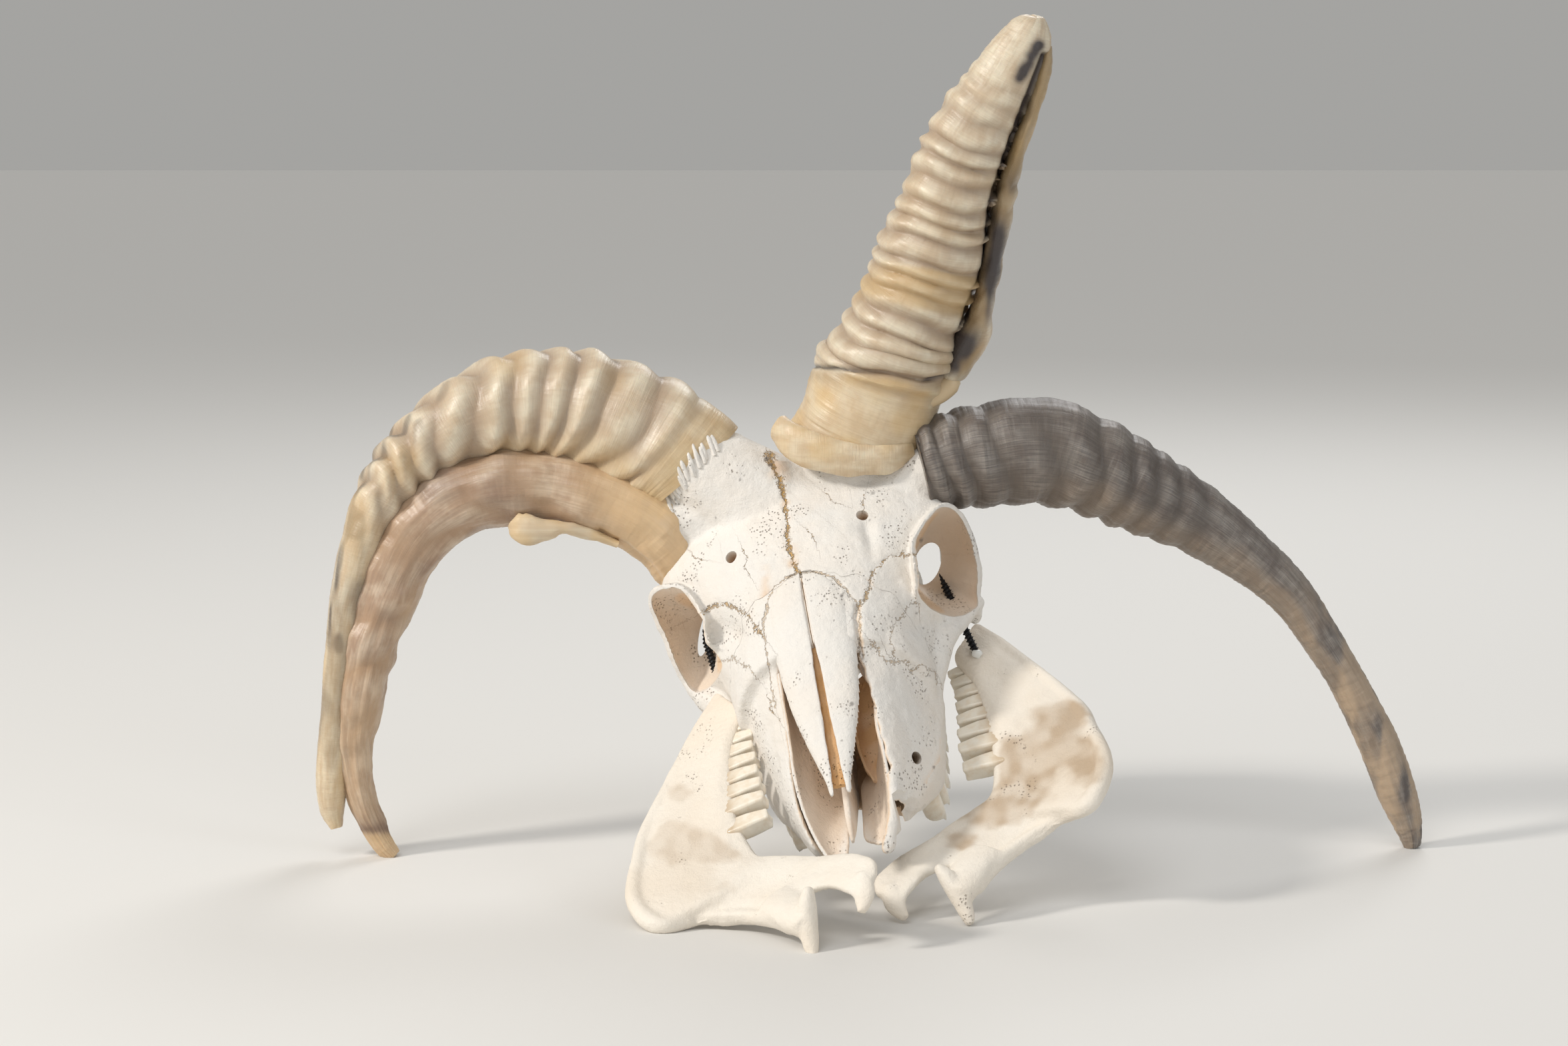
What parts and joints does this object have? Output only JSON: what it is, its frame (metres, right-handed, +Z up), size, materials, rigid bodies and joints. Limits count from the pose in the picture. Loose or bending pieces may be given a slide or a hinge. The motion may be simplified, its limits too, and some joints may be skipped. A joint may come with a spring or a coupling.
{
  "type": "ram skull",
  "caption": "Bleached ram skull with spreading ribbed horns, standing on its parted lower jaws and horn tips as a display piece.",
  "frame": {"origin": "middle of the part's bounding box, at the level of the floor it stands on", "axes": "+X to the viewer's right across the horns, +Y from the face towards the nape, +Z up"},
  "size_m": [0.4754, 0.2642, 0.3558],
  "materials": {
    "bone": "dry bleached bone, matt, slightly chalky",
    "cream_horn": "cream to amber horn, satin, ribbed",
    "grey_horn": "grey-brown horn, satin, finely fibrous",
    "black_screw": "black phosphate, satin"
  },
  "bodies": {
    "root": {"cranium": "bone", "vomer": "bone", "nasal_left": "bone", "nasal_right": "bone", "maxilla_left": "bone", "maxilla_right": "bone", "premaxilla_left": "bone", "premaxilla_right": "bone", "jaw_left": "bone", "jaw_right": "bone", "horn_left": "cream_horn", "horn_top": "cream_horn", "horn_right": "grey_horn", "screw_left": "black_screw", "screw_right": "black_screw"}
  },
  "joints": []
}
